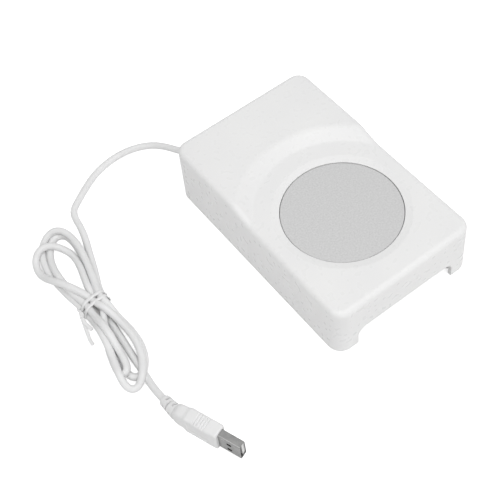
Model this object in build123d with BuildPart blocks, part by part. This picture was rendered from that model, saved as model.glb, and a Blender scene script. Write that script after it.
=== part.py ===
from build123d import *
import math
import os

# Electric mug warmer with a USB cord, in millimetres.
# +Z is up and the table is at Z = 0. +Y points to the back, where the cord leaves.
# The origin is the middle of the case's footprint.

# ---------------------------------------------------------------- driving dimensions

# Case
case_width = 91.0  # across the rim
case_length = 143.0  # front to back at the rim
case_height = 38.6  # table to the raised rear deck
deck_drop = 4.0  # the front deck lies this far below the rear deck
wall = 2.2
draft = 1.0  # lean of the walls, in degrees
corner_radius = 8.2
top_edge_radius = 3.3
rim_height = 0.6  # table to the rim
arch_width = 64.0  # opening in the front wall
arch_height = 12.3  # table to the top of that opening
arch_radius = 5.5

# Heating plate and the dish and scoop round it
plate_radius = 32.7
plate_setback = 51.4  # front rim to the middle of the plate
plate_gap = 0.2  # between the plate and its hole
plate_recess = 1.3  # front deck down to the top of the plate
plate_bevel = 0.3
lip_run = 4.2  # sloping lip round the hole
lip_drop = 1.0
scoop_clearance = 1.3  # beside the plate, the scoop's foot passes this far outside the walls
scoop_run = 8.4  # the scoop climbs to the rear deck over this distance
scoop_foot_radius = 4.5
scoop_crest_radius = 8.0

# Heater stack, listed downwards
gasket_thickness = 1.1
flange_width = 2.75  # the plate's flange beyond its face
flange_thickness = 1.4
heater_radius = 30.0
heater_thickness = 0.8
pad_radius = 31.0
pad_thickness = 2.0
clamp_radius = 33.0
clamp_thickness = 1.0
clamp_ear_width = 9.0
clamp_screw_radius = 41.0  # middle of the plate to each screw
clamp_boss_diameter = 7.0
clamp_screw_diameter = 2.6
clamp_screw_length = 5.8
clamp_screw_head = 5.0
clamp_screw_head_height = 1.8

# Bottom cover, its legs, screws and feet
cover_gap = 0.45  # between the cover and the walls at the rim
cover_floor = 10.5  # table to the underside of the cover
cover_thickness = 2.0
post_inset = 8.5  # rim to the corner posts and legs
post_diameter = 7.5
leg_diameter = 11.0
foot_diameter = 9.0
foot_height = 1.3
foot_plug_length = 2.5
foot_plug_gap = 0.1
screw_seat = 8.0  # table to the seat of a screw head
screw_diameter = 3.0
screw_length = 12.0
screw_head = 5.6
screw_head_height = 2.2
screw_well = 7.0
screw_clearance = 0.4

# Thermal cut-out under the clamp
cutout_length = 20.0
cutout_width = 7.5
cutout_height = 3.7
cutout_offset = 6.0  # behind the middle of the plate
strap_width = 6.0
strap_thickness = 0.5
strap_ear = 5.0
rivet_diameter = 2.0
rivet_head = 3.4
rivet_head_height = 0.8

# Cord, grommet and cord clamp
cord_diameter = 4.1
cord_inset = 15.0  # left rim to the middle of the cord
cord_height = 15.0  # table to the middle of the cord in the rear wall
cord_end_setback = 25.0  # rear rim to the cord's end inside the case
grommet_neck = 7.4
grommet_flange = 10.4
grommet_flange_thickness = 1.5
grommet_lock = 9.5
grommet_lock_thickness = 1.2
grommet_sleeve = 6.8
grommet_sleeve_length = 3.2
grommet_sleeve_edge = 1.0
cord_straight = 5.0  # the cord leaves the grommet straight for this far
saddle_setback = 19.0  # rear rim to the cord clamp
saddle_width = 16.0
saddle_depth = 6.0
saddle_bar = 3.4
saddle_screw_spacing = 11.0
saddle_screw_diameter = 2.2
saddle_screw_length = 7.0
saddle_screw_head = 4.0
saddle_screw_head_height = 1.5

# Wires inside the case
wire_diameter = 1.2
wire_spread = 0.85  # cord's middle to a wire
wire_hole = 2.4
wire_bend = 4.0
jumper_bend = 3.0
supply_straight = 12.0  # cord's end to the supply wire's first bend
supply_climb = 20.0
supply_reach = 8.0  # cut-out's end to the supply wire's last bend
jumper_reach = 6.0  # cut-out's other end to the jumper's bend
return_straight = 14.0
return_run = 12.0
return_place = (-22.0, 9.0)  # from the middle of the plate to where the return wire climbs
sleeve_diameter = 2.1
sleeve_length = 5.0
sleeve_setbacks = (1.0, 7.0)  # cord's end to each sleeve

# USB plug, lying on one narrow edge
plug_heading = (0.343, -0.939)  # from the cord to the tip, along the table
plug_rear = (-129.2, -46.8)  # rear end of the housing
housing_length = 27.1
housing_height = 14.0
housing_width = 8.2
housing_edge = 0.9
shoulder_length = 7.5  # the rear of the housing is a little lower and narrower
shoulder_step = 0.8
shoulder_radius = 3.0
rib_count = 5
rib_spacing = 1.5
rib_start = 13.5
rib_depth = 0.35
panel_start = 9.0
panel_length = 13.0
panel_height = 8.0
panel_depth = 0.3
usb_height = 12.0
usb_width = 4.5
usb_exposed = 12.7
usb_buried = 6.0
usb_sheet = 0.3
usb_corner = 0.6
usb_hole_length = 2.5
usb_hole_height = 2.0
usb_hole_spacing = 5.12
usb_hole_setback = 6.4
tongue_thickness = 1.85
tongue_setback = 0.6
tongue_side_gap = 0.3
contact_spacing = 2.3
contact_width = 1.2
contact_thickness = 0.2
contact_length = 8.0
boot_length = 10.0
boot_buried = 1.0  # the strain relief runs on into the housing's rounded rear
boot_rear = 5.6
boot_front = 6.8
boot_slot = 0.7
boot_slot_spacing = 2.6
boot_slot_depth = 1.1
boot_slot_span = 4.2

# Hank and its tie
hank_height = 8.3
tie_x = -126.5
tie_y = 35.4
tie_width = 4.4
tie_thickness = 0.6
tie_opening = 16.0
tie_corner = 3.0
tie_end_diameter = 1.6
tie_knot = (-134.3, 33.9, 5.0)
tie_long_end = [tie_knot, (-136.4, 26.9, 4.2), (-139.6, 16.1, 1.5)]
tie_short_end = [tie_knot, (-135.8, 28.9, 5.2), (-136.8, 22.9, 4.0)]
tie_end_bend = 8.0

# Route of the cord to the hank, after its straight start in line with the grommet
lead_points = [
    (-33.7, 88.2, 11.5),
    (-35.5, 93.9, 10.3),
    (-39.4, 101.3, 8.9),
    (-44.3, 106.9, 7.5),
    (-52.9, 112.3, 5.7),
    (-63.9, 115.3, 3.2),
    (-77.0, 113.5, 2.05),
    (-88.0, 107.6, 2.05),
    (-96.1, 102.4, 2.05),
    (-102.0, 98.4, 2.05),
    (-104.2, 92.4, 2.05),
    (-104.9, 85.3, 2.05),
    (-107.3, 75.9, 2.05),
    (-110.9, 65.9, 2.05),
]
# Where that stretch runs on into the waist of the hank
lead_joins = (-120.3, 39.8)
# Route of the cord from under the hank to the plug's strain relief, which has the last heading
tail_points = [
    (-128.4, -13.3, 2.05),
    (-129.3, -21.1, 2.5),
    (-130.1, -29.1, 4.0),
    (-129.7, -36.9, 5.35),
]
# Outer edge of the hank, clockwise from the right of its waist
hank_outline = [
    (-118.0, 36.9),
    (-116.4, 50.9),
    (-113.3, 64.9),
    (-109.8, 80.9),
    (-112.8, 92.9),
    (-119.3, 96.4),
    (-127.7, 94.0),
    (-137.4, 85.3),
    (-141.7, 75.0),
    (-139.9, 63.3),
    (-136.0, 51.9),
    (-134.8, 36.9),
    (-136.0, 20.9),
    (-140.1, 2.9),
    (-143.5, -14.1),
    (-140.7, -23.4),
    (-131.8, -21.1),
    (-122.2, -13.5),
    (-115.7, -0.2),
    (-114.6, 14.9),
]

# ---------------------------------------------------------------- derived sizes

rear_rim = case_length / 2
plate_y = plate_setback - rear_rim
deck_top = case_height - deck_drop
deck_underside = deck_top - wall
hole_radius = plate_radius + plate_gap
lip_radius = hole_radius + lip_run
scoop_start = case_width / 2 + scoop_clearance
scoop_end = scoop_start + scoop_run
above_case = 2 * case_height

plate_top = deck_top - plate_recess
flange_top = deck_underside - gasket_thickness
flange_bottom = flange_top - flange_thickness
flange_radius = plate_radius + flange_width
pad_top = flange_bottom - heater_thickness
clamp_top = pad_top - pad_thickness
clamp_bottom = clamp_top - clamp_thickness
cover_top = cover_floor + cover_thickness

cord_x = cord_inset - case_width / 2
cutout_y = plate_y + cutout_offset
cutout_middle = clamp_bottom - cutout_height / 2

post_places = [
    (x * (case_width / 2 - post_inset), y * (rear_rim - post_inset))
    for x in (-1, 1)
    for y in (-1, 1)
]


def lean(height):
    """How far the draft has brought a wall in at this height."""
    return math.tan(math.radians(draft)) * (height - rim_height)


# The flange meets the leaning rear wall at the flange's lowest point, the lock at its highest
flange_seat = rear_rim - lean(cord_height - grommet_flange / 2)
lock_seat = rear_rim - wall - lean(cord_height + grommet_lock / 2)


def turn_radii(points):
    """Radius of each corner's arc: as large as its two runs allow."""
    radii = []
    for before, corner, after in zip(points, points[1:], points[2:]):
        run_in = Vector(*corner) - Vector(*before)
        run_out = Vector(*after) - Vector(*corner)
        turn = math.radians(run_in.get_angle(run_out))
        shorter = min(run_in.length, run_out.length)
        radii.append(0.45 * shorter / math.tan(turn / 2))
    return radii


def tube(points, diameter, radii):
    """A round tube along straight runs joined by tangent arcs."""
    with BuildPart() as piece:
        with BuildLine() as route:
            FilletPolyline(*points, radius=radii)
        with BuildSketch(Plane(origin=route.wire() @ 0, z_dir=route.wire() % 0)):
            Circle(diameter / 2)
        sweep(path=route.wire())
    return piece


# ---------------------------------------------------------------- case

# Space above the front deck, with the scoop that climbs to the rear deck round the plate
with BuildPart() as deck_space:
    with BuildSketch(Plane.XZ.offset(-plate_y)):
        with BuildLine():
            slope = FilletPolyline(
                (0, deck_top),
                (scoop_start, deck_top),
                (scoop_end, case_height),
                (scoop_end + scoop_run, case_height),
                radius=[scoop_foot_radius, scoop_crest_radius],
            )
            Polyline(slope @ 1, (scoop_end + scoop_run, above_case), (0, above_case), slope @ 0)
        make_face()
    revolve(axis=Axis((0, plate_y, 0), (0, 0, 1)))
    with BuildSketch(Plane.XY.offset(deck_top)):
        with Locations((0, plate_y - case_length / 2)):
            Rectangle(2 * case_width, case_length)
    extrude(amount=above_case - deck_top)

# Inside of the case: the walls and decks have one thickness
with BuildPart() as case_inside:
    with BuildSketch(Plane.XY.offset(rim_height)):
        RectangleRounded(case_width - 2 * wall, case_length - 2 * wall, corner_radius - wall)
    extrude(amount=case_height - wall - rim_height, taper=draft)
    add(deck_space.part.moved(Location((0, 0, -wall))), mode=Mode.SUBTRACT)

# Round hole for the plate, with its sloping lip
with BuildPart() as dish_space:
    with BuildSketch(Plane.XZ.offset(-plate_y)):
        with BuildLine():
            Polyline(
                (lip_radius, deck_top),
                (lip_radius, above_case),
                (0, above_case),
                (0, clamp_top),
                (hole_radius, clamp_top),
                (hole_radius, deck_top - lip_drop),
                (lip_radius, deck_top),
            )
        make_face()
    revolve(axis=Axis((0, plate_y, 0), (0, 0, 1)))

with BuildPart() as top_shell:
    with BuildSketch(Plane.XY.offset(rim_height)):
        RectangleRounded(case_width, case_length, corner_radius)
    extrude(amount=case_height - rim_height, taper=draft)
    add(deck_space.part, mode=Mode.SUBTRACT)
    side_faces = top_shell.faces().filter_by(lambda f: abs(f.normal_at().Z) < 0.1)
    top_edges = side_faces.edges().filter_by(
        lambda e: e.bounding_box().min.Z > deck_top - lip_drop
    )
    fillet(top_edges, top_edge_radius)
    add(case_inside.part, mode=Mode.SUBTRACT)
    # Posts for the bottom screws and bosses for the clamp screws
    with BuildSketch(Plane.XY.offset(cover_top)):
        with Locations(*post_places):
            Circle(post_diameter / 2)
    extrude(amount=deck_top - wall / 2 - cover_top)
    with BuildSketch(Plane.XY.offset(deck_underside)):
        with Locations(*[place for place in post_places if place[1] > 0]):
            Circle(post_diameter / 2)
    extrude(amount=deck_drop + wall / 2)
    with BuildSketch(Plane.XY.offset(clamp_top)):
        with Locations((0, plate_y)):
            with PolarLocations(clamp_screw_radius, 3, start_angle=90):
                Circle(clamp_boss_diameter / 2)
    extrude(amount=deck_top - wall / 2 - clamp_top)
    add(dish_space.part, mode=Mode.SUBTRACT)
    # Pilot holes, which the screws fill
    with BuildSketch(Plane.XY.offset(cover_top)):
        with Locations(*post_places):
            Circle(screw_diameter / 2)
    extrude(amount=screw_seat + screw_length - cover_top, mode=Mode.SUBTRACT)
    with BuildSketch(Plane.XY.offset(clamp_top)):
        with Locations((0, plate_y)):
            with PolarLocations(clamp_screw_radius, 3, start_angle=90):
                Circle(clamp_screw_diameter / 2)
    extrude(amount=clamp_screw_length - clamp_thickness, mode=Mode.SUBTRACT)
    # Arched opening in the front wall
    with BuildSketch(Plane.XZ.offset(rear_rim - 2 * wall)):
        with Locations((0, 0)):
            arch = Rectangle(arch_width, 2 * arch_height)
        fillet(arch.vertices().group_by(Axis.Y)[-1], arch_radius)
    extrude(amount=3 * wall, mode=Mode.SUBTRACT)
    # Hole in the rear wall for the grommet
    with BuildSketch(Plane.XZ.offset(2 * wall - rear_rim)):
        with Locations((cord_x, cord_height)):
            Circle(grommet_neck / 2)
    extrude(amount=-3 * wall, mode=Mode.SUBTRACT)

with BuildPart() as bottom_cover:
    cover_inset = 2 * (wall + cover_gap)
    with BuildSketch(Plane.XY.offset(cover_floor)):
        RectangleRounded(
            case_width - cover_inset, case_length - cover_inset, corner_radius - wall
        )
    extrude(amount=cover_thickness)
    with BuildSketch(Plane.XY.offset(foot_height)):
        with Locations(*post_places):
            Circle(leg_diameter / 2)
    extrude(amount=cover_floor - foot_height)
    # Cradle for the cord
    with BuildSketch(Plane.XY.offset(cover_top)):
        with Locations((cord_x, rear_rim - saddle_setback)):
            Rectangle(saddle_width, saddle_depth)
    extrude(amount=cord_height - cover_top)
    with Locations((cord_x, rear_rim - saddle_setback, cord_height)):
        Cylinder(cord_diameter / 2, 2 * saddle_depth, rotation=(90, 0, 0), mode=Mode.SUBTRACT)
    with BuildSketch(Plane.XY.offset(cord_height)):
        with Locations((cord_x, rear_rim - saddle_setback)):
            with GridLocations(saddle_screw_spacing, 0, 2, 1):
                Circle(saddle_screw_diameter / 2)
    extrude(amount=saddle_bar - saddle_screw_length, mode=Mode.SUBTRACT)
    # Notch in the rear edge, clear of the grommet's lock
    with BuildSketch(Plane.XZ.offset(grommet_lock_thickness + cover_gap - lock_seat)):
        with Locations((cord_x, cord_height)):
            Circle(grommet_lock / 2 + cover_gap)
    extrude(amount=-2 * wall, mode=Mode.SUBTRACT)
    # Screw wells and clearance holes through the legs
    with BuildSketch(Plane.XY.offset(foot_height)):
        with Locations(*post_places):
            Circle(screw_well / 2)
    extrude(amount=screw_seat - foot_height, mode=Mode.SUBTRACT)
    with BuildSketch(Plane.XY.offset(screw_seat)):
        with Locations(*post_places):
            Circle((screw_diameter + screw_clearance) / 2)
    extrude(amount=cover_top - screw_seat, mode=Mode.SUBTRACT)

with BuildPart() as housing_screws:
    with BuildSketch(Plane.XY.offset(screw_seat - screw_head_height)):
        with Locations(*post_places):
            Circle(screw_head / 2)
    extrude(amount=screw_head_height)
    with BuildSketch(Plane.XY.offset(screw_seat)):
        with Locations(*post_places):
            Circle(screw_diameter / 2)
    extrude(amount=screw_length)

with BuildPart() as rubber_feet:
    with BuildSketch(Plane.XY):
        with Locations(*post_places):
            Circle(foot_diameter / 2)
    extrude(amount=foot_height)
    with BuildSketch(Plane.XY.offset(foot_height)):
        with Locations(*post_places):
            Circle(screw_well / 2 - foot_plug_gap)
    extrude(amount=foot_plug_length)

# ---------------------------------------------------------------- heater

with BuildPart() as heating_plate:
    with BuildSketch(Plane.XY.offset(flange_bottom)):
        with Locations((0, plate_y)):
            Circle(flange_radius)
    extrude(amount=flange_thickness)
    with BuildSketch(Plane.XY.offset(flange_top)):
        with Locations((0, plate_y)):
            Circle(plate_radius)
    extrude(amount=plate_top - flange_top)
    chamfer(heating_plate.edges().sort_by(Axis.Z)[-1], plate_bevel)

with BuildPart() as plate_gasket:
    with BuildSketch(Plane.XY.offset(flange_top)):
        with Locations((0, plate_y)):
            Circle(flange_radius)
            Circle(hole_radius, mode=Mode.SUBTRACT)
    extrude(amount=gasket_thickness)

with BuildPart() as heater_disc:
    with BuildSketch(Plane.XY.offset(pad_top)):
        with Locations((0, plate_y)):
            Circle(heater_radius)
    extrude(amount=heater_thickness)

# Where the two wires climb to the underside of the heater
jumper_foot = (cutout_length / 2 + jumper_reach, cutout_y)
return_foot = (return_place[0], plate_y + return_place[1])

with BuildPart() as insulation_pad:
    with BuildSketch(Plane.XY.offset(clamp_top)):
        with Locations((0, plate_y)):
            Circle(pad_radius)
        with Locations(jumper_foot, return_foot):
            Circle(wire_hole / 2, mode=Mode.SUBTRACT)
    extrude(amount=pad_thickness)

rivet_spread = cutout_width / 2 + strap_thickness + strap_ear / 2
rivet_places = [(0, cutout_y + side * rivet_spread) for side in (-1, 1)]

with BuildPart() as heater_clamp:
    with BuildSketch(Plane.XY.offset(clamp_bottom)):
        with Locations((0, plate_y)):
            Circle(clamp_radius)
            with PolarLocations(clamp_screw_radius / 2, 3, start_angle=90):
                Rectangle(clamp_screw_radius, clamp_ear_width)
            with PolarLocations(clamp_screw_radius, 3, start_angle=90):
                Circle(clamp_ear_width / 2)
                Circle((clamp_screw_diameter + screw_clearance) / 2, mode=Mode.SUBTRACT)
        with Locations(jumper_foot, return_foot):
            Circle(wire_hole / 2, mode=Mode.SUBTRACT)
        with Locations(*rivet_places):
            Circle(rivet_diameter / 2, mode=Mode.SUBTRACT)
    extrude(amount=clamp_thickness)

with BuildPart() as clamp_screws:
    with BuildSketch(Plane.XY.offset(clamp_bottom - clamp_screw_head_height)):
        with Locations((0, plate_y)):
            with PolarLocations(clamp_screw_radius, 3, start_angle=90):
                Circle(clamp_screw_head / 2)
    extrude(amount=clamp_screw_head_height)
    with BuildSketch(Plane.XY.offset(clamp_bottom)):
        with Locations((0, plate_y)):
            with PolarLocations(clamp_screw_radius, 3, start_angle=90):
                Circle(clamp_screw_diameter / 2)
    extrude(amount=clamp_screw_length)

with BuildPart() as thermal_cutout:
    with BuildSketch(Plane.XY.offset(clamp_bottom)):
        with Locations((0, cutout_y)):
            Rectangle(cutout_length, cutout_width)
    extrude(amount=-cutout_height)

with BuildPart() as cutout_strap:
    strap_reach = cutout_width / 2 + strap_thickness + strap_ear
    with BuildSketch(Plane.YZ.offset(-strap_width / 2)):
        with Locations((cutout_y, clamp_bottom)):
            Rectangle(2 * strap_reach, strap_thickness, align=(Align.CENTER, Align.MAX))
            Rectangle(
                cutout_width + 2 * strap_thickness,
                cutout_height + strap_thickness,
                align=(Align.CENTER, Align.MAX),
            )
            Rectangle(
                cutout_width, cutout_height, align=(Align.CENTER, Align.MAX), mode=Mode.SUBTRACT
            )
    extrude(amount=strap_width)
    with BuildSketch(Plane.XY.offset(clamp_bottom)):
        with Locations(*rivet_places):
            Circle(rivet_diameter / 2)
    extrude(amount=-2 * strap_thickness, mode=Mode.SUBTRACT)

with BuildPart() as strap_rivets:
    with BuildSketch(Plane.XY.offset(clamp_bottom - strap_thickness)):
        with Locations(*rivet_places):
            Circle(rivet_head / 2)
    extrude(amount=-rivet_head_height)
    with BuildSketch(Plane.XY.offset(clamp_bottom - strap_thickness)):
        with Locations(*rivet_places):
            Circle(rivet_diameter / 2)
    extrude(amount=strap_thickness + clamp_thickness)

# ---------------------------------------------------------------- cord inside the case

cord_end_y = rear_rim - cord_end_setback
grommet_end = flange_seat + grommet_flange_thickness + grommet_sleeve_length

with BuildPart() as cord_grommet:
    for diameter, start, end in (
        (grommet_lock, lock_seat - grommet_lock_thickness, lock_seat),
        (grommet_neck, lock_seat, flange_seat),
        (grommet_flange, flange_seat, flange_seat + grommet_flange_thickness),
        (grommet_sleeve, flange_seat + grommet_flange_thickness, grommet_end),
    ):
        with BuildSketch(Plane.XZ.offset(-start)):
            with Locations((cord_x, cord_height)):
                Circle(diameter / 2)
        extrude(amount=start - end)
    fillet(cord_grommet.edges().sort_by(Axis.Y)[-1], grommet_sleeve_edge)
    with BuildSketch(Plane.XZ.offset(-grommet_end)):
        with Locations((cord_x, cord_height)):
            Circle(cord_diameter / 2)
    extrude(amount=grommet_end - lock_seat + grommet_lock_thickness, mode=Mode.SUBTRACT)

with BuildPart() as cord_inner:
    with BuildSketch(Plane.XZ.offset(-cord_end_y)):
        with Locations((cord_x, cord_height)):
            Circle(cord_diameter / 2)
    extrude(amount=cord_end_y - grommet_end)

saddle_place = (cord_x, rear_rim - saddle_setback)
with BuildPart() as cord_clamp:
    with BuildSketch(Plane.XY.offset(cord_height)):
        with Locations(saddle_place):
            Rectangle(saddle_width, saddle_depth)
            with GridLocations(saddle_screw_spacing, 0, 2, 1):
                Circle(saddle_screw_diameter / 2, mode=Mode.SUBTRACT)
    extrude(amount=saddle_bar)
    with Locations((*saddle_place, cord_height)):
        Cylinder(cord_diameter / 2, 2 * saddle_depth, rotation=(90, 0, 0), mode=Mode.SUBTRACT)

with BuildPart() as cord_clamp_screws:
    with BuildSketch(Plane.XY.offset(cord_height + saddle_bar)):
        with Locations(saddle_place):
            with GridLocations(saddle_screw_spacing, 0, 2, 1):
                Circle(saddle_screw_head / 2)
    extrude(amount=saddle_screw_head_height)
    with BuildSketch(Plane.XY.offset(cord_height + saddle_bar)):
        with Locations(saddle_place):
            with GridLocations(saddle_screw_spacing, 0, 2, 1):
                Circle(saddle_screw_diameter / 2)
    extrude(amount=-saddle_screw_length)

# Wires from the cord to the cut-out, on to the heater, and back
supply_x = cord_x + wire_spread
return_x = cord_x - wire_spread
cutout_left = -cutout_length / 2
supply_points = [
    (supply_x, cord_end_y, cord_height),
    (supply_x, cord_end_y - supply_straight, cord_height),
    (cutout_left - supply_reach, cutout_y + supply_climb, cord_height),
    (cutout_left - supply_reach, cutout_y, cutout_middle),
    (cutout_left, cutout_y, cutout_middle),
]
jumper_points = [
    (cutout_length / 2, cutout_y, cutout_middle),
    (*jumper_foot, cutout_middle),
    (*jumper_foot, pad_top),
]
return_points = [
    (return_x, cord_end_y, cord_height),
    (return_x, cord_end_y - return_straight, cord_height),
    (return_foot[0], return_foot[1] + return_run, cord_height),
    (*return_foot, cord_height),
    (*return_foot, pad_top),
]
supply_wire = tube(supply_points, wire_diameter, wire_bend)
jumper_wire = tube(jumper_points, wire_diameter, jumper_bend)
return_wire = tube(return_points, wire_diameter, wire_bend)

with BuildPart() as splice_sleeves:
    for x, setback in zip((supply_x, return_x), sleeve_setbacks):
        with BuildSketch(Plane.XZ.offset(setback - cord_end_y)):
            with Locations((x, cord_height)):
                Circle(sleeve_diameter / 2)
                Circle(wire_diameter / 2, mode=Mode.SUBTRACT)
        extrude(amount=sleeve_length)

# ---------------------------------------------------------------- cord outside the case

# Band round the waist of the hank, with its two twisted ends
long_end = tube(tie_long_end, tie_end_diameter, tie_end_bend)
short_end = tube(tie_short_end, tie_end_diameter, tie_end_bend)
with BuildPart() as twist_tie:
    with BuildSketch(Plane.XZ.offset(-tie_y)):
        with Locations((tie_x, 0)):
            RectangleRounded(
                tie_opening + 2 * tie_thickness,
                hank_height + tie_thickness,
                tie_corner,
                align=(Align.CENTER, Align.MIN),
            )
        with Locations((tie_x, tie_thickness)):
            RectangleRounded(
                tie_opening,
                hank_height - tie_thickness,
                tie_corner - tie_thickness,
                align=(Align.CENTER, Align.MIN),
                mode=Mode.SUBTRACT,
            )
    extrude(amount=tie_width / 2, both=True)
    add(long_end.part)
    add(short_end.part)

with BuildPart() as cord_hank:
    with BuildSketch():
        with BuildLine():
            round_trip = [hank_outline[-1], *hank_outline, hank_outline[0]]
            FilletPolyline(*hank_outline, radius=turn_radii(round_trip), close=True)
        make_face()
    extrude(amount=hank_height)
    # Last stretch of the lead, lying against the turns
    stretch = Vector(*lead_joins) - Vector(*lead_points[-1][:2])
    with BuildSketch(Plane(origin=(*lead_points[-1][:2], 0), x_dir=stretch)):
        Rectangle(stretch.length, cord_diameter, align=(Align.MIN, Align.CENTER))
    extrude(amount=cord_diameter)
    add(twist_tie.part, mode=Mode.SUBTRACT)

lead_route = [
    (cord_x, grommet_end, cord_height),
    (cord_x, grommet_end + cord_straight, cord_height),
    *lead_points,
]
cord_lead = tube(lead_route, cord_diameter, turn_radii(lead_route))
cord_tail = tube(tail_points, cord_diameter, turn_radii(tail_points))
with cord_tail:
    add(cord_hank.part, mode=Mode.SUBTRACT)

# ---------------------------------------------------------------- plug

# In the plug's own plane X runs to the tip and Z is up; its middle is half the housing up
plug_plane = Plane(
    origin=(*plug_rear, housing_height / 2), x_dir=(*plug_heading, 0), z_dir=(0, 0, 1)
)
usb_start = housing_length - usb_buried
usb_length = usb_buried + usb_exposed

with BuildPart() as shell_block:
    with BuildSketch(Plane.YZ.offset(usb_start)):
        RectangleRounded(usb_width, usb_height, usb_corner)
    extrude(amount=usb_length)

with BuildPart() as housing_shape:
    with BuildSketch(Plane.YZ):
        Rectangle(housing_width - shoulder_step, housing_height - 2 * shoulder_step)
    extrude(amount=shoulder_length)
    fillet(housing_shape.edges().group_by(Axis.X)[0].filter_by(Axis.Y), shoulder_radius)
    with BuildSketch(Plane.YZ.offset(shoulder_length)):
        Rectangle(housing_width, housing_height)
    extrude(amount=housing_length - shoulder_length)
    front_edges = housing_shape.edges().filter_by(Axis.X).group_by(SortBy.LENGTH)[-1]
    fillet(front_edges + housing_shape.edges().group_by(Axis.X)[-1], housing_edge)
    # Grip ribs on the two narrow edges
    for side in (-1, 1):
        for rib in range(rib_count):
            with Locations((rib_start + rib * rib_spacing, 0, side * housing_height / 2)):
                Box(rib_spacing / 2, housing_width, 2 * rib_depth, mode=Mode.SUBTRACT)
    # Sunk panels on the two wide faces
    for side in (-1, 1):
        with Locations((panel_start + panel_length / 2, side * housing_width / 2, 0)):
            Box(panel_length, 2 * panel_depth, panel_height, mode=Mode.SUBTRACT)
    add(shell_block.part, mode=Mode.SUBTRACT)

inner_width = usb_width - 2 * usb_sheet
inner_height = usb_height - 2 * usb_sheet
inner_corner = usb_corner - usb_sheet

with BuildPart() as shell_shape:
    add(shell_block.part)
    with BuildSketch(Plane.YZ.offset(usb_start)):
        RectangleRounded(inner_width, inner_height, inner_corner)
    extrude(amount=usb_length, mode=Mode.SUBTRACT)
    hole_x = usb_start + usb_length - usb_hole_setback
    for side in (-1, 1):
        with Locations((hole_x, 0, side * usb_hole_spacing / 2)):
            Box(usb_hole_length, 2 * usb_width, usb_hole_height, mode=Mode.SUBTRACT)

# The tongue fills the buried half of the shell and then lies against its far side
tongue_y = inner_width / 2 - tongue_thickness / 2
contact_y = tongue_y - tongue_thickness / 2 - contact_thickness / 2
tongue_end = usb_start + usb_length - tongue_setback
with BuildPart() as tongue_shape:
    with BuildSketch(Plane.YZ.offset(usb_start)):
        RectangleRounded(inner_width, inner_height, inner_corner)
    extrude(amount=usb_buried)
    with BuildSketch(Plane.YZ.offset(housing_length)):
        with Locations((tongue_y, 0)):
            Rectangle(tongue_thickness, inner_height - 2 * tongue_side_gap)
    extrude(amount=tongue_end - housing_length)

with BuildPart() as contacts_shape:
    with BuildSketch(Plane.YZ.offset(housing_length)):
        with Locations((contact_y, 0)):
            with GridLocations(0, contact_spacing, 1, 4):
                Rectangle(contact_thickness, contact_width)
    extrude(amount=contact_length)

plug_housing = housing_shape.part.moved(plug_plane.location)
plug_shell = shell_shape.part.moved(plug_plane.location)
plug_tongue = tongue_shape.part.moved(plug_plane.location)
plug_contacts = contacts_shape.part.moved(plug_plane.location)

# Slotted strain relief, flexed a little towards the table
boot_heading = Vector(*tail_points[-1]) - Vector(*tail_points[-2])
boot_plane = Plane(
    origin=tail_points[-1],
    x_dir=boot_heading.cross(Vector(0, 0, 1)),
    z_dir=boot_heading,
)
with BuildPart() as plug_strain_relief:
    with BuildSketch(boot_plane):
        Circle(boot_rear / 2)
    with BuildSketch(boot_plane.offset(boot_length + boot_buried)):
        Circle(boot_front / 2)
    loft()
    # Slots at the two sides, then above and below, then at the sides again
    for ring, turned in enumerate((0, 90, 0), start=1):
        with BuildSketch(boot_plane.offset(ring * boot_slot_spacing)):
            with PolarLocations((boot_front + boot_rear) / 4, 2, start_angle=turned):
                Rectangle(2 * boot_slot_depth, boot_slot_span)
        extrude(amount=boot_slot, mode=Mode.SUBTRACT)
    add(plug_housing, mode=Mode.SUBTRACT)

# ---------------------------------------------------------------- files

pieces = {
    "top_shell": top_shell.part,
    "bottom_cover": bottom_cover.part,
    "housing_screws": housing_screws.part,
    "rubber_feet": rubber_feet.part,
    "heating_plate": heating_plate.part,
    "plate_gasket": plate_gasket.part,
    "heater_disc": heater_disc.part,
    "insulation_pad": insulation_pad.part,
    "heater_clamp": heater_clamp.part,
    "clamp_screws": clamp_screws.part,
    "thermal_cutout": thermal_cutout.part,
    "cutout_strap": cutout_strap.part,
    "strap_rivets": strap_rivets.part,
    "cord_grommet": cord_grommet.part,
    "cord_inner": cord_inner.part,
    "cord_clamp": cord_clamp.part,
    "cord_clamp_screws": cord_clamp_screws.part,
    "supply_wire": supply_wire.part,
    "jumper_wire": jumper_wire.part,
    "return_wire": return_wire.part,
    "splice_sleeves": splice_sleeves.part,
    "cord_lead": cord_lead.part,
    "cord_hank": cord_hank.part,
    "cord_tail": cord_tail.part,
    "twist_tie": twist_tie.part,
    "plug_strain_relief": plug_strain_relief.part,
    "plug_housing": plug_housing,
    "plug_shell": plug_shell,
    "plug_tongue": plug_tongue,
    "plug_contacts": plug_contacts,
}
os.makedirs("parts", exist_ok=True)
for name, piece in pieces.items():
    piece.label = name
    export_step(piece, f"parts/{name}.step")

for name, points in (("lead", lead_route), ("tail", tail_points)):
    print(name, "radii", [round(radius, 1) for radius in turn_radii(points)])
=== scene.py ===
import math

import bpy
import numpy as np
from mathutils import Matrix, Vector


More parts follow.
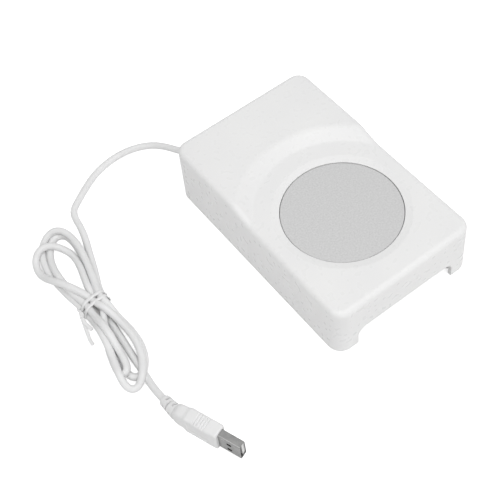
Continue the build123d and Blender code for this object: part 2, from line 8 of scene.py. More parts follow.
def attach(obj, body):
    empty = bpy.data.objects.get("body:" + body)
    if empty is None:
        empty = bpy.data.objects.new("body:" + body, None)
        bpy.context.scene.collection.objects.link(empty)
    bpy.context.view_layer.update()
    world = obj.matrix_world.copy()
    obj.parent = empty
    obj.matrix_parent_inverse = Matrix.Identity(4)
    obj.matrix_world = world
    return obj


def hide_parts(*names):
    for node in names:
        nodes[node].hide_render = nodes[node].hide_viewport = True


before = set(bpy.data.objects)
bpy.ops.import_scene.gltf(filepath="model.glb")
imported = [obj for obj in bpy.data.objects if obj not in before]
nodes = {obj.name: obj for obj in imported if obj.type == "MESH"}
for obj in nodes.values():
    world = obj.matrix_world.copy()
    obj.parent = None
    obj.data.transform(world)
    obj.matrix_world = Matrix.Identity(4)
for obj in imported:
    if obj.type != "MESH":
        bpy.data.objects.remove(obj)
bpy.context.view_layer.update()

# ---------------------------------------------------------------- case
# The case is one moulding of glossy white ABS: walls, both decks and the scoop that joins them.
# A polished mould leaves a faint orange peel in its gloss and on its surface, and its white
# varies a little in soft clouds.

case_white = (0.84, 0.84, 0.835)
case_shade = (0.815, 0.815, 0.815)
case_roughness = (0.27, 0.36)
case_peel_size = 0.003
case_peel_depth = 0.0000025
case_peel_detail = 0.0
cloud_size = 0.03
cloud_detail = 2.0
grain_detail = 4.0
# Nearly all of a noise texture's values lie between these two
noise_low = 0.3
noise_high = 0.7


def start_material(name, **constants):
    """A Principled material. Values that are the same all over are set on the shader's sockets."""
    material = bpy.data.materials.new(name)
    material.use_nodes = True
    shader = material.node_tree.nodes["Principled BSDF"]
    for socket, value in constants.items():
        shader.inputs[socket.replace("_", " ")].default_value = value
    return material, shader


def lumps(material, size, detail):
    """Noise whose lumps have this size in metres, on the piece's own Object coordinates."""
    tree = material.node_tree
    place = tree.nodes.new("ShaderNodeTexCoord")
    scale = tree.nodes.new("ShaderNodeMapping")
    scale.inputs["Scale"].default_value = (1 / size,) * 3
    noise = tree.nodes.new("ShaderNodeTexNoise")
    noise.inputs["Scale"].default_value = 1
    noise.inputs["Detail"].default_value = detail
    tree.links.new(place.outputs["Object"], scale.inputs["Vector"])
    tree.links.new(scale.outputs["Vector"], noise.inputs["Vector"])
    return noise.outputs["Fac"]


def tint(material, shader, factor, dark, light):
    """The colour goes straight from dark to light as the factor goes from low to high."""
    tree = material.node_tree
    ramp = tree.nodes.new("ShaderNodeValToRGB")
    for element, position, colour in zip(
        ramp.color_ramp.elements, (noise_low, noise_high), (dark, light)
    ):
        element.position = position
        element.color = (*colour, 1)
    tree.links.new(factor, ramp.inputs["Fac"])
    tree.links.new(ramp.outputs["Color"], shader.inputs["Base Color"])


def gloss(material, shader, factor, smooth, rough):
    """The roughness goes straight from smooth to rough as the factor goes from low to high."""
    tree = material.node_tree
    spread = tree.nodes.new("ShaderNodeMapRange")
    ends = {"From Min": noise_low, "From Max": noise_high, "To Min": smooth, "To Max": rough}
    for socket, value in ends.items():
        spread.inputs[socket].default_value = value
    tree.links.new(factor, spread.inputs["Value"])
    tree.links.new(spread.outputs["Result"], shader.inputs["Roughness"])


def relief(material, shader, height, depth):
    """Bumps on the surface, this deep in metres where the height goes from 0 to 1."""
    tree = material.node_tree
    bump = tree.nodes.new("ShaderNodeBump")
    bump.inputs["Strength"].default_value = 1
    bump.inputs["Distance"].default_value = depth
    tree.links.new(height, bump.inputs["Height"])
    tree.links.new(bump.outputs["Normal"], shader.inputs["Normal"])


def finish(
    name, dark, light, roughness, grain, depth, clouds=cloud_size, detail=grain_detail, **constants
):
    """A surface with two close shades in soft clouds, and one grain in its gloss and its relief."""
    material, shader = start_material(name, **constants)
    tint(material, shader, lumps(material, clouds, cloud_detail), dark, light)
    speckles = lumps(material, grain, detail)
    gloss(material, shader, speckles, *roughness)
    relief(material, shader, speckles, depth)
    return material


def dress(node, material):
    """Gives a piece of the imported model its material."""
    for slot in nodes[node].material_slots:
        slot.material = material


case_plastic = finish(
    "case_plastic", dark=case_shade, light=case_white, roughness=case_roughness,
    grain=case_peel_size, depth=case_peel_depth, detail=case_peel_detail,
)
dress("top_shell", case_plastic)

# ---------------------------------------------------------------- heating plate
# The plate is a disc of aluminium, bead blasted and clear anodised. The blasting leaves a fine
# even speckle, which shows in its colour, in its sheen and in its relief.

plate_dark = (0.545, 0.545, 0.545)
plate_light = (0.645, 0.645, 0.645)
plate_roughness = (0.38, 0.5)
speckle_size = 0.0009
speckle_depth = 0.00001

plate_metal = finish(
    "blasted_aluminium", dark=plate_dark, light=plate_light, roughness=plate_roughness,
    grain=speckle_size, depth=speckle_depth, clouds=speckle_size, Metallic=1.0,
)
dress("heating_plate", plate_metal)

# ---------------------------------------------------------------- heater stack
# Under the plate lie a silicone gasket, a film heater of copper-coloured polyimide, a felt pad
# and a zinc-plated clamp of sheet steel with three screws. Under the clamp, a riveted strap of
# the same sheet holds a thermal cut-out in a black phenolic case.

silicone = finish(
    "gasket_silicone", dark=(0.76, 0.76, 0.75), light=(0.82, 0.82, 0.81),
    roughness=(0.5, 0.62), grain=0.0006, depth=0.00001,
)
polyimide = finish(
    "heater_polyimide", dark=(0.42, 0.17, 0.03), light=(0.55, 0.25, 0.05),
    roughness=(0.2, 0.3), grain=0.004, depth=0.00002,
)
felt = finish(
    "glass_felt", dark=(0.62, 0.6, 0.54), light=(0.8, 0.78, 0.72),
    roughness=(0.9, 1.0), grain=0.0005, depth=0.0001,
)
zinc = finish(
    "zinc_plate", dark=(0.5, 0.5, 0.52), light=(0.66, 0.66, 0.68),
    roughness=(0.3, 0.42), grain=0.0015, depth=0.000006, Metallic=1.0,
)
screw_steel = finish(
    "screw_steel", dark=(0.42, 0.42, 0.43), light=(0.56, 0.56, 0.57),
    roughness=(0.25, 0.38), grain=0.0004, depth=0.000008, clouds=0.002, Metallic=1.0,
)
phenolic = finish(
    "cutout_phenolic", dark=(0.03, 0.03, 0.03), light=(0.06, 0.055, 0.05),
    roughness=(0.4, 0.5), grain=0.0005, depth=0.00001,
)

dress("plate_gasket", silicone)
dress("heater_disc", polyimide)
dress("insulation_pad", felt)
for node in ("heater_clamp", "cutout_strap"):
    dress(node, zinc)
for node in ("clamp_screws", "strap_rivets"):
    dress(node, screw_steel)
dress("thermal_cutout", phenolic)

# ---------------------------------------------------------------- wires in the case
# Two cores of the cord run to the heater, one of them by way of the thermal cut-out. They have
# silicone insulation, red and black, and a shrunk white sleeve over each splice.

red_wire = finish(
    "red_insulation", dark=(0.42, 0.02, 0.015), light=(0.52, 0.03, 0.02),
    roughness=(0.4, 0.5), grain=0.0004, depth=0.00001,
)
black_wire = finish(
    "black_insulation", dark=(0.015, 0.015, 0.015), light=(0.03, 0.03, 0.03),
    roughness=(0.4, 0.5), grain=0.0004, depth=0.00001,
)
shrink_sleeve = finish(
    "shrink_sleeve", dark=(0.66, 0.66, 0.64), light=(0.74, 0.74, 0.72),
    roughness=(0.35, 0.5), grain=0.0006, depth=0.00003,
)

for node in ("supply_wire", "jumper_wire"):
    dress(node, red_wire)
dress("return_wire", black_wire)
dress("splice_sleeves", shrink_sleeve)

# ---------------------------------------------------------------- bottom cover
# The cover closes the case from below. It is a plain moulding of the same white ABS with a
# matt spark texture, held by four steel screws in its legs, and it stands on four rubber feet.

cover_plastic = finish(
    "cover_plastic", dark=(0.8, 0.8, 0.8), light=(0.84, 0.84, 0.835),
    roughness=(0.45, 0.6), grain=0.0005, depth=0.00003,
)
foot_rubber = finish(
    "foot_rubber", dark=(0.5, 0.5, 0.49), light=(0.6, 0.6, 0.58),
    roughness=(0.7, 0.85), grain=0.0004, depth=0.00003,
)

dress("bottom_cover", cover_plastic)
dress("housing_screws", screw_steel)
dress("rubber_feet", foot_rubber)

# ---------------------------------------------------------------- cord entry
# A soft grommet lines the hole in the rear wall, and inside a screwed saddle grips the cord.
# Grommet and cord are white PVC, softer and duller than the case.

soft_pvc = finish(
    "soft_pvc", dark=(0.76, 0.76, 0.76), light=(0.81, 0.81, 0.81),
    roughness=(0.38, 0.5), grain=0.0007, depth=0.000012, clouds=0.012,
)

for node in ("cord_grommet", "cord_inner"):
    dress(node, soft_pvc)
dress("cord_clamp", cover_plastic)
dress("cord_clamp_screws", screw_steel)

# ---------------------------------------------------------------- cord
# A round PVC cord of 4.1 mm comes down behind the case, is wound into a flat hank of three
# turns tied at its waist, and runs on to the plug. It is extruded, so it is plain all along.

cord_diameter = 0.0041
lead_points = [
    (-0.0305, 0.076039, 0.015),
    (-0.0305, 0.081039, 0.015),
    (-0.0337, 0.0882, 0.0115),
    (-0.0355, 0.0939, 0.0103),
    (-0.0394, 0.1013, 0.0089),
    (-0.0443, 0.1069, 0.0075),
    (-0.0529, 0.1123, 0.0057),
    (-0.0639, 0.1153, 0.0032),
    (-0.077, 0.1135, 0.00205),
    (-0.088, 0.1076, 0.00205),
    (-0.0961, 0.1024, 0.00205),
    (-0.102, 0.0984, 0.00205),
    (-0.1042, 0.0924, 0.00205),
    (-0.1049, 0.0853, 0.00205),
    (-0.1073, 0.0759, 0.00205),
]
into_hank = [
    (-0.1109, 0.0659, 0.00205),
    (-0.1136, 0.0589, 0.00205),
    (-0.1162, 0.0518, 0.00205),
    (-0.1186, 0.0449, 0.0023),
]
out_of_hank = [
    (-0.1251, 0.0269, 0.00205),
    (-0.1256, 0.0209, 0.00205),
    (-0.1262, 0.0139, 0.00205),
    (-0.1268, 0.0069, 0.00205),
    (-0.1275, 0.0001, 0.00205),
    (-0.1281, -0.0071, 0.00205),
]
tail_points = [
    (-0.1284, -0.0133, 0.00205),
    (-0.1293, -0.0211, 0.0025),
    (-0.1301, -0.0291, 0.004),
    (-0.1297, -0.0369, 0.00535),
]

# Each lobe of the hank leaves the waist at one place in the tie and comes back at the next. At
# five stations along its way, its line lies this far in X from the waist's middle, and this high.
waist = np.array((-0.1265, 0.0354))
lobe_stations = (0.1, 0.28, 0.5, 0.72, 0.9)
lobe_way = np.linspace(0.05, 0.95, 21)
lobes = [
    dict(reach=-0.0502, across=(-0.0030, -0.0116, -0.0108, -0.0062, -0.0047),
         heights=(0.0026, 0.00205, 0.0038, 0.0074, 0.0066)),
    dict(reach=0.0537, across=(-0.0064, -0.0035, 0.0078, 0.0128, 0.0072),
         heights=(0.0045, 0.00205, 0.00205, 0.00205, 0.0023)),
    dict(reach=-0.0526, across=(-0.0030, -0.0086, -0.0060, 0.0049, 0.0058),
         heights=(0.00205, 0.00205, 0.00205, 0.00205, 0.004)),
    dict(reach=0.0562, across=(0.0089, 0.0130, 0.0047, -0.0072, -0.0082),
         heights=(0.006, 0.0055, 0.0055, 0.0023, 0.0023)),
    dict(reach=-0.0578, across=(-0.0067, -0.0128, -0.0112, 0.0018, 0.0041),
         heights=(0.0040, 0.0062, 0.0054, 0.0061, 0.0062)),
    dict(reach=0.0484, across=(-0.0062, -0.0131, -0.0040, 0.0077, 0.0039),
         heights=(0.0075, 0.0062, 0.0075, 0.0065, 0.0035)),
]
# Where the strands pass through the tie, in their order along the cord: offset in X and height
passes = [
    (0.00615, 0.00265),
    (-0.0041, 0.0062),
    (-0.00205, 0.00265),
    (0.0041, 0.0062),
    (-0.00615, 0.00265),
    (0.0, 0.0062),
    (0.00205, 0.00265),
]
tie_half_width = 0.002


def lobe_line(lobe, start, end):
    """The lobe's line in plan is its reach times sin(pi t) along Y. Across, one polynomial in t
    goes through its offsets at the stations, from its start in the tie to its end there. Its
    height runs straight from station to station."""
    offsets = (start[0], *lobe["across"], end[0])
    curve = np.polyfit((0, *lobe_stations, 1), offsets, len(offsets) - 1)
    height = np.interp(lobe_way, lobe_stations, lobe["heights"])
    reach = lobe["reach"] * np.sin(np.pi * lobe_way)
    return np.column_stack((waist[0] + np.polyval(curve, lobe_way), waist[1] + reach, height))


def through_tie(strand, side):
    """The two ends of a strand's straight way through the tie, from this side in Y to the other."""
    offset, height = strand
    return np.array([
        (waist[0] + offset, waist[1] + end * tie_half_width, height) for end in (side, -side)
    ])


def evenly(line, step):
    """The same line with its points this far apart, by straight interpolation over its length."""
    along = np.append(0, np.cumsum(np.linalg.norm(np.diff(line, axis=0), axis=1)))
    places = np.linspace(0, along[-1], int(round(along[-1] / step)) + 1)
    return np.column_stack([np.interp(places, along, line[:, axis]) for axis in range(3)])


plan = [np.array(into_hank)]
for lobe, start, end in zip(lobes, passes, passes[1:]):
    plan.append(through_tie(start, -np.sign(lobe["reach"])))
    plan.append(lobe_line(lobe, start, end))
plan.append(through_tie(passes[-1], 1))
plan.append(np.array(out_of_hank))

# The turns settle: each round pulls them towards their plan, lets them sink, stiffens them, and
# pushes apart what lies closer than a diameter, until they lie beside and on each other. The
# push is weaker sideways, and points that are near neighbours along the cord don't get it.
settling_step = 0.002
settling_rounds = 160
stiffening_rounds = 3
rounding_rounds = 12
pull = 0.2
sink = 0.00004
stiffness = 0.5
push_share = 0.5
sideways = 0.35
tightest_fold = 0.0025
strand_gap = 1.012 * cord_diameter
near_neighbours = 4
tie_margin = 0.0006
tiny = 1e-9

wanted = evenly(np.vstack(plan), settling_step)
turns = wanted.copy()
order = np.arange(len(turns))
apart = np.abs(order[:, None] - order[None, :]) > near_neighbours
in_tie = np.abs(wanted[:, 1] - waist[1]) < tie_half_width + tie_margin


def kink(line):
    """The way from each point to the middle of its two neighbours."""
    out = np.zeros_like(line)
    out[1:-1] = (line[:-2] + line[2:]) / 2 - line[1:-1]
    return out


def unfold(line):
    """The move that opens a fold where it is tighter than the tightest one. On an arc, a point
    lies the square of its neighbours' distance, over 8 radii, from their middle."""
    bend = kink(line)
    sharpness = np.linalg.norm(bend, axis=1, keepdims=True) + tiny
    chord = np.ones((len(line), 1))
    chord[1:-1] = np.linalg.norm(line[2:] - line[:-2], axis=1, keepdims=True)
    return bend * np.clip(1 - chord**2 / 8 / tightest_fold / sharpness, 0, 1)


for settling in range(settling_rounds):
    turns[:, :2] += pull * (wanted - turns)[:, :2]
    turns[:, 2] -= sink
    turns[in_tie] += pull * (wanted - turns)[in_tie]
    for stiffening in range(stiffening_rounds):
        turns -= stiffness * kink(kink(turns))
        turns += unfold(turns)
    gap = turns[:, None] - turns[None, :]
    distance = np.linalg.norm(gap, axis=2) + tiny
    touching = (distance < strand_gap) & apart
    push = np.where(touching, (strand_gap - distance) / distance, 0)[..., None] * gap
    push = push_share * push.sum(1) / np.sqrt(np.maximum(touching.sum(1), 1))[:, None]
    turns += push * (sideways, sideways, 1)
    turns[:, 2] = np.maximum(turns[:, 2], cord_diameter / 2)
    turns[0], turns[-1] = wanted[0], wanted[-1]

for rounding in range(rounding_rounds):
    turns = evenly(turns + unfold(turns), settling_step)

cord_points = np.vstack((lead_points, turns, tail_points))
cord_curve = bpy.data.curves.new("cord", "CURVE")
cord_curve.dimensions = "3D"
cord_curve.bevel_depth = cord_diameter / 2
cord_curve.bevel_resolution = 5
cord_curve.resolution_u = 3
cord_curve.use_fill_caps = True
spline = cord_curve.splines.new("NURBS")
spline.points.add(len(cord_points) - 1)
spline.points.foreach_set("co", np.column_stack((cord_points, np.ones(len(cord_points)))).ravel())
spline.order_u = 3
spline.use_endpoint_u = True
cord_curve.materials.append(soft_pvc)
cord = bpy.data.objects.new("cord", cord_curve)
bpy.context.collection.objects.link(cord)
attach(cord, "root")
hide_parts("cord_lead", "cord_hank", "cord_tail")

# ---------------------------------------------------------------- tie
# A flat white ribbon with a wire core goes twice round the waist of the hank. Its ends are
# twisted together into a knot on the left side, and then stand apart, one long and one short.

ribbon_width = 0.0021
ribbon_thickness = 0.0006
core_diameter = 0.0009
core_narrowness = 2.2
wraps = 2
wrap_spacing = 0.0036
wrap_steps = 96
band_step = 0.0004
knot_turns = 1.75
knot_length = 0.0035
knot_radius = 0.00055
knot_share = 0.45
knot_gap = 0.0004
knot_forward = 0.0015
knot_height = 0.0056
end_step = 0.0003
long_tip = [(-0.1391, 0.0224, 0.0032), (-0.1402, 0.0184, 0.0021), (-0.1403, 0.0154, 0.0014)]
short_tip = [(-0.1370, 0.0271, 0.0046), (-0.1366, 0.0244, 0.0042), (-0.1361, 0.0221, 0.0038)]


def closed_mesh(name, grid, material, smooth_angle=40.0):
    """A mesh from rings of points: rings follow each other, and the first and last are filled."""
    rings, around = grid.shape[:2]
    first = np.arange(rings * around).reshape(rings, around)
    after = np.roll(first, -1, axis=1)
    quads = np.stack((first[:-1], after[:-1], after[1:], first[1:]), axis=2).reshape(-1, 4)
    faces = [*quads.tolist(), first[0, ::-1].tolist(), first[-1].tolist()]
    mesh = bpy.data.meshes.new(name)
    mesh.from_pydata(grid.reshape(-1, 3).tolist(), [], faces)
    mesh.polygons.foreach_set("use_smooth", np.ones(len(mesh.polygons), bool))
    mesh.set_sharp_from_angle(angle=math.radians(smooth_angle))
    mesh.materials.append(material)
    piece = bpy.data.objects.new(name, mesh)
    bpy.context.collection.objects.link(piece)
    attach(piece, "root")
    return piece


def round_all(circles, radius, directions):
    """The line of a band drawn tight round circles: for each direction the outermost circle's
    middle, plus the radius in that direction."""
    reach = directions @ circles.T
    return circles[np.argmax(reach, axis=1)] + radius * directions


def carry(line, flat, profile):
    """The profile's two coordinates lie across the line: the first along the flat direction,
    made square to the line, and the second along the cross product of heading and flat."""
    heading = np.gradient(line, axis=0)
    heading /= np.linalg.norm(heading, axis=1)[:, None]
    flat = flat - (flat * heading).sum(1)[:, None] * heading
    flat /= np.linalg.norm(flat, axis=1)[:, None]
    out = np.cross(heading, flat)
    first, second = profile[None, :, :1], profile[None, :, 1:]
    return line[:, None] + first * flat[:, None] + second * out[:, None]


def soften(line, rounds):
    """Each round moves every inner point half way to the middle of its two neighbours."""
    for softening in range(rounds):
        line[1:-1] += 0.5 * kink(line)[1:-1]
    return line


def unit(vector):
    """The vector over its own length."""
    return vector / np.linalg.norm(vector)


# The ribbon's section is an ellipse that thickens over the wire core, by a bell curve
profile_angle = np.linspace(0, 2 * math.pi, 20, endpoint=False)
core_bulge = np.exp(-(np.cos(profile_angle) * core_narrowness) ** 2)
half_thickness = ribbon_thickness / 2 + (core_diameter - ribbon_thickness) / 2 * core_bulge
ribbon_profile = np.column_stack((
    ribbon_width / 2 * np.cos(profile_angle),
    half_thickness * np.sin(profile_angle),
))

# The band goes round the strands that cross the middle of the tie, given in X and Z
crossing = np.abs(turns[:, 1] - waist[1]) < settling_step / 2
strands = turns[crossing][:, (0, 2)]
turn_angles = np.linspace(math.pi, math.pi - 2 * math.pi * wraps, wrap_steps * wraps + 1)
directions = np.column_stack((np.cos(turn_angles), np.sin(turn_angles)))
band = round_all(strands, cord_diameter / 2 + ribbon_thickness / 2, directions)
band_y = waist[1] + np.linspace(-0.5, 0.5, len(band)) * wraps * wrap_spacing
band = np.column_stack((band[:, 0], band_y, band[:, 1]))
band[:, 2] = np.maximum(band[:, 2], core_diameter / 2)
band = soften(evenly(band, band_step), rounds=4)

# The knot twists the ribbon's two ends round each other, and points forward and to the left
knot_start = np.array((band[:, 0].min() - knot_gap, waist[1] - knot_forward, knot_height))
knot_heading = unit(np.array((-0.35, -0.9, -0.12)))
knot_side = unit(np.cross(knot_heading, (0, 0, 1)))
knot_up = np.cross(knot_side, knot_heading)
twist = np.linspace(0, 1, 24)[:, None]


def ribbon_end(name, phase, band_end, tip):
    """One of the ribbon's ends: from the band, along a helix round the knot's middle that starts
    at this phase, to its tip. The ribbon turns with the helix over the knot's share of it."""
    swing = phase + 2 * math.pi * knot_turns * twist
    knot = knot_start + knot_heading * knot_length * twist
    knot = knot + knot_radius * (np.cos(swing) * knot_side + np.sin(swing) * knot_up)
    line = soften(evenly(np.vstack((band_end[None], knot, tip)), end_step), rounds=10)
    share = np.linspace(0, 1, len(line))[:, None]
    turn = phase + 2 * math.pi * knot_turns * np.minimum(share / knot_share, 1)
    flat = np.cos(turn) * knot_up + np.sin(turn) * knot_side
    end_piece = closed_mesh(name, carry(line, flat, ribbon_profile), soft_pvc)
    return end_piece


tie_long_end = ribbon_end("tie_long_end", 0.0, band[0], long_tip)
tie_short_end = ribbon_end("tie_short_end", math.pi, band[-1], short_tip)
flat = np.tile((0.0, 1.0, 0.0), (len(band), 1))
tie_band = closed_mesh("tie_band", carry(band, flat, ribbon_profile), soft_pvc)
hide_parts("twist_tie")

# ---------------------------------------------------------------- plug housing
# The plug's housing is moulded over the cord and the metal shell in soft white PVC. It has a
# narrower neck, grip ribs on its narrow edges and a sunk panel on each wide face.

plug_rear = np.array((-0.1292, -0.0468, 0.007))
plug_heading = unit(np.array((0.343, -0.939, 0.0)))
plug_side = np.array((-plug_heading[1], plug_heading[0], 0.0))
plug_up = np.array((0.0, 0.0, 1.0))

housing_length = 0.0271
housing_height = 0.014
housing_width = 0.0082
housing_edge = 0.0011
housing_edge_corners = 0.6
rear_edge = 0.0012
neck_end = 0.0068
shoulder_end = 0.0085
rib_count = 5
rib_spacing = 0.0015
rib_start = 0.0135
rib_depth = 0.0004
rib_edge = 0.0004
rib_half_width = 0.25 * rib_spacing
rib_foot = 0.36 * housing_height
rib_run_in = 0.1 * housing_height
panel_start = 0.009
panel_length = 0.013
panel_height = 0.008
panel_depth = 0.00045
panel_edge = 0.0005
wide_face_from = 0.4 * housing_width


def rounded_ring(width, height, radius, flat_steps, arc_steps):
    """Rings round rectangles with rounded corners, one for each width, height and radius: four
    quarter circles, and between them the flats in even steps. Returns both coordinates."""
    quarter = np.linspace(0, math.pi / 2, arc_steps + 1)
    signs = ((1, 1), (-1, 1), (-1, -1), (1, -1))
    parts = []
    for corner in range(4):
        sx, sy = signs[corner]
        nx, ny = signs[(corner + 1) % 4]
        angle = quarter + corner * math.pi / 2
        ones = np.ones(len(angle))
        parts.append(np.column_stack((sx * ones, sy * ones, np.cos(angle), np.sin(angle))))
        step = np.linspace(0, 1, flat_steps + 1)[1:-1, None]
        ends = np.array((sx, sy, np.cos(angle[-1]), np.sin(angle[-1])))
        nexts = np.array((nx, ny, np.cos(angle[-1]), np.sin(angle[-1])))
        parts.append(ends + (nexts - ends) * step)
    way = np.vstack(parts)
    across = (width / 2 - radius)[:, None] * way[:, 0] + radius[:, None] * way[:, 2]
    up = (height / 2 - radius)[:, None] * way[:, 1] + radius[:, None] * way[:, 3]
    return across, up


def soft_step(value, start, end, edge):
    """1 between start and end, 0 outside, with smooth edges of this width."""
    rise = np.clip((value - start) / edge + 0.5, 0, 1)
    fall = np.clip((end - value) / edge + 0.5, 0, 1)
    return rise * rise * (3 - 2 * rise) * fall * fall * (3 - 2 * fall)


def set_out(origin, directions, distances):
    """The origin plus each of the three distances times its direction."""
    steps = (distance[..., None] * way for distance, way in zip(distances, directions))
    return sum(steps, start=origin)


# Places along the housing, closer together at its two rounded ends and at its shoulder
housing_way = np.concatenate((
    np.linspace(0, rear_edge, 9),
    np.linspace(rear_edge, neck_end, 14)[1:],
    np.linspace(neck_end, shoulder_end, 9)[1:],
    np.linspace(shoulder_end, housing_length - housing_edge, 130)[1:],
    housing_length - housing_edge + housing_edge * np.sin(np.linspace(0, math.pi / 2, 8))[1:],
))
widths = np.interp(
    housing_way,
    (0, rear_edge, neck_end, shoulder_end),
    (0.0066, 0.0074, 0.0075, housing_width),
)
heights = np.interp(
    housing_way,
    (0, 0.0006, 0.0018, 0.0035, neck_end, shoulder_end),
    (0.0078, 0.0094, 0.0112, 0.0122, 0.0127, housing_height),
)
corners = np.interp(housing_way, (0, 0.003, shoulder_end), (0.0026, 0.0019, 0.0013))

# The front edge is a quarter circle, and the corners tighten over it by a share of its inset
front_turn = np.clip((housing_way - housing_length + housing_edge) / housing_edge, 0, 1)
front_inset = housing_edge * (1 - np.sqrt(1 - front_turn**2))
across, up = rounded_ring(
    widths - 2 * front_inset,
    heights - 2 * front_inset,
    corners - housing_edge_corners * front_inset,
    flat_steps=24,
    arc_steps=6,
)
along = np.repeat(housing_way[:, None], across.shape[1], axis=1)
for rib in range(rib_count):
    middle = rib_start + rib * rib_spacing
    groove = soft_step(along, middle - rib_half_width, middle + rib_half_width, rib_edge)
    groove *= np.clip((np.abs(up) - rib_foot) / rib_run_in, 0, 1)
    up -= np.sign(up) * rib_depth * groove
panel = soft_step(along, panel_start, panel_start + panel_length, panel_edge)
panel *= soft_step(up, -panel_height / 2, panel_height / 2, panel_edge)
across -= np.sign(across) * panel_depth * panel * (np.abs(across) > wide_face_from)
housing_grid = set_out(plug_rear, (plug_heading, plug_side, plug_up), (along, across, up))
housing = closed_mesh("housing", housing_grid, soft_pvc)
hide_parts("plug_housing")

# ---------------------------------------------------------------- strain relief
# The strain relief is moulded in one with the housing: a cone from the cord to the housing, with
# a blunt rounded rear end. Pairs of slots, each a quarter turn round from the last, let it bend.

boot_length = 0.0112
boot_rear = 0.0062
boot_front = 0.0077
boot_rounding = 0.0006
boot_rounding_length = 0.0008
boot_slot = 0.0009
boot_slot_spacing = 0.0027
boot_slot_depth = 0.0019
boot_slot_edge = 0.0002
boot_rings = 113
boot_ring_points = 96
boot_slot_turn = 0.6
boot_slot_turns = (boot_slot_turn, boot_slot_turn + math.pi / 2, boot_slot_turn)
# Round the cone, a slot reaches as far as the cosine of the angle from its middle is over the
# first of these, and is at full depth from where the cosine is larger by the second
boot_slot_side = 0.52
boot_slot_side_edge = 0.06

boot_start = np.array(tail_points[-1])
boot_heading = unit(boot_start - np.array(tail_points[-2]))
boot_side = unit(np.cross((0, 0, 1), boot_heading))
boot_up = np.cross(boot_heading, boot_side)
along = np.linspace(0, boot_length, boot_rings)[:, None]
angle = np.linspace(0, 2 * math.pi, boot_ring_points, endpoint=False)[None]
radius = (boot_rear + (boot_front - boot_rear) * along / boot_length) / 2 + 0 * angle
radius -= boot_rounding * np.clip(1 - along / boot_rounding_length, 0, 1) ** 2
for ring, turned in enumerate(boot_slot_turns, start=1):
    middle = ring * boot_slot_spacing + boot_slot / 2
    slot_way = soft_step(along, middle - boot_slot / 2, middle + boot_slot / 2, boot_slot_edge)
    facing = np.abs(np.cos(angle - turned))
    slot_round = np.clip((facing - boot_slot_side) / boot_slot_side_edge, 0, 1)
    radius -= boot_slot_depth * slot_way * slot_round
boot_grid = set_out(
    boot_start,
    (boot_heading, boot_side, boot_up),
    (along, radius * np.cos(angle), radius * np.sin(angle)),
)
strain_relief = closed_mesh("strain_relief", boot_grid, soft_pvc)
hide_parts("plug_strain_relief")

# ---------------------------------------------------------------- plug metal
# The plug's shell is nickel-plated steel sheet, bent into a box with two square holes in each
# wide face. The white tongue inside carries four gold-plated contacts.

shell_steel = finish(
    "plug_shell_nickel", dark=(0.27, 0.27, 0.27), light=(0.34, 0.34, 0.335),
    roughness=(0.16, 0.24), grain=0.0006, depth=0.000004, clouds=0.004, Metallic=1.0,
)
tongue_plastic = finish(
    "tongue_plastic", dark=(0.78, 0.78, 0.77), light=(0.84, 0.84, 0.83),
    roughness=(0.4, 0.5), grain=0.0005, depth=0.00001,
)
gold = finish(
    "contact_gold", dark=(0.7, 0.45, 0.15), light=(0.8, 0.55, 0.2),
    roughness=(0.2, 0.3), grain=0.0004, depth=0.000004, Metallic=1.0,
)
dress("plug_shell", shell_steel)
dress("plug_tongue", tongue_plastic)
dress("plug_contacts", gold)

# ---------------------------------------------------------------- table and sky
# The warmer lies on a wide matt white table under a white sky. The sky looks white to the camera
# and in reflections, and a glow that only the camera sees makes the table white.

table_white = 0.93
table_roughness = 0.9
table_glow = 0.6
table_reach = 4.0
sky_level = 0.45

table_material, table_shader = start_material(
    "table_white", Base_Color=(table_white, table_white, table_white, 1),
    Roughness=table_roughness, Specular_IOR_Level=0, Emission_Color=(1, 1, 1, 1),
)
table_tree = table_material.node_tree
table_path = table_tree.nodes.new("ShaderNodeLightPath")
glow = table_tree.nodes.new("ShaderNodeMath")
glow.operation = "MULTIPLY"
glow.inputs[1].default_value = table_glow
table_tree.links.new(table_path.outputs["Is Camera Ray"], glow.inputs[0])
table_tree.links.new(glow.outputs["Value"], table_shader.inputs["Emission Strength"])

corner_signs = ((-1, -1), (1, -1), (1, 1), (-1, 1))
table_corners = [(table_reach * x, table_reach * y, 0) for x, y in corner_signs]
table_mesh = bpy.data.meshes.new("table")
table_mesh.from_pydata(table_corners, [], [(0, 1, 2, 3)])
table_mesh.materials.append(table_material)
table = bpy.data.objects.new("table", table_mesh)
bpy.context.collection.objects.link(table)

world = bpy.data.worlds.new("sky")
world.use_nodes = True
bpy.context.scene.world = world
sky_tree = world.node_tree
sky = sky_tree.nodes["Background"]
sky.inputs["Color"].default_value = (1, 1, 1, 1)
sky_path = sky_tree.nodes.new("ShaderNodeLightPath")
# 1 for the camera, for reflections and through glass, 0 for the light that falls on the object
seen = sky_path.outputs["Is Camera Ray"]
for ray in ("Is Glossy Ray", "Is Transmission Ray"):
    either = sky_tree.nodes.new("ShaderNodeMath")
    either.operation = "MAXIMUM"
    sky_tree.links.new(seen, either.inputs[0])
    sky_tree.links.new(sky_path.outputs[ray], either.inputs[1])
    seen = either.outputs["Value"]
sky_range = sky_tree.nodes.new("ShaderNodeMapRange")
sky_range.inputs["To Min"].default_value = sky_level
sky_range.inputs["To Max"].default_value = 1.0
sky_tree.links.new(seen, sky_range.inputs["Value"])
sky_tree.links.new(sky_range.outputs["Result"], sky.inputs["Strength"])

# ---------------------------------------------------------------- lamps
# A wide softbox hangs overhead, and a large soft lamp stands at the front right. Only the
# softbox shows in reflections.

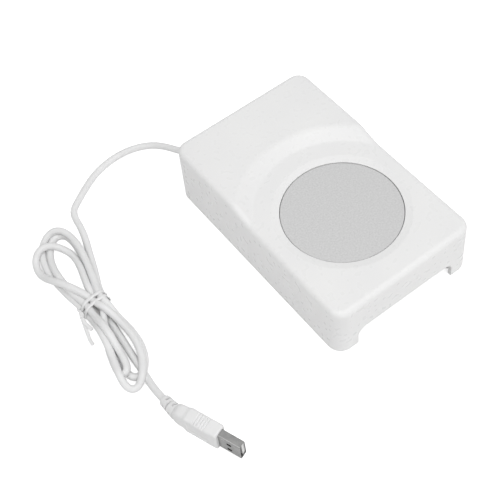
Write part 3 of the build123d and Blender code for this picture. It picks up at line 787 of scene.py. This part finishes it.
lamp_distance = 1.6
object_middle = Vector((-0.03, 0.02, 0.01))
lamps = {
    "overhead_softbox": dict(level=0.28, heading=(-0.284, -0.191, 0.94), size=1.6, mirrored=True),
    "front_lamp": dict(level=0.52, heading=(0.11, -0.487, 0.866), size=1.8, mirrored=False),
}

for name, setting in lamps.items():
    heading = Vector(setting["heading"])
    lamp_data = bpy.data.lights.new(name, "AREA")
    lamp_data.shape = "SQUARE"
    lamp_data.size = setting["size"]
    # At this power, a lamp that is small for its distance gives the level on what faces it
    lamp_data.energy = setting["level"] * math.pi**2 * lamp_distance**2
    lamp = bpy.data.objects.new(name, lamp_data)
    lamp.location = object_middle + heading.normalized() * lamp_distance
    lamp.rotation_mode = "QUATERNION"
    lamp.rotation_quaternion = heading.to_track_quat("Z", "Y")
    lamp.visible_glossy = setting["mirrored"]
    bpy.context.collection.objects.link(lamp)

# ---------------------------------------------------------------- camera
# The camera looks down on the object from the front left, turned a little about its own axis.
# It is a plain lens on a 36 mm sensor, without shift or depth of field.

camera_target = Vector((-0.039897, 0.011446, 0))
camera_azimuth = math.radians(-30.556)
camera_elevation = math.radians(54.797)
camera_roll = math.radians(-7.884)
camera_distance = 0.57007
camera_lens = 74.207

camera_back = Vector((
    math.sin(camera_azimuth) * math.cos(camera_elevation),
    -math.cos(camera_azimuth) * math.cos(camera_elevation),
    math.sin(camera_elevation),
))
level_right = Vector((0, 0, 1)).cross(camera_back).normalized()
level_up = camera_back.cross(level_right)
camera_right = level_right * math.cos(camera_roll) + level_up * math.sin(camera_roll)
camera_up = level_up * math.cos(camera_roll) - level_right * math.sin(camera_roll)
camera_data = bpy.data.cameras.new("camera")
camera_data.lens = camera_lens
camera_data.sensor_width = 36
camera_data.clip_start = 0.01
camera = bpy.data.objects.new("camera", camera_data)
turned = Matrix((camera_right, camera_up, camera_back)).transposed().to_4x4()
camera.matrix_world = Matrix.Translation(camera_target + camera_back * camera_distance) @ turned
bpy.context.collection.objects.link(camera)
bpy.context.scene.camera = camera
bpy.context.scene.view_settings.view_transform = "Standard"
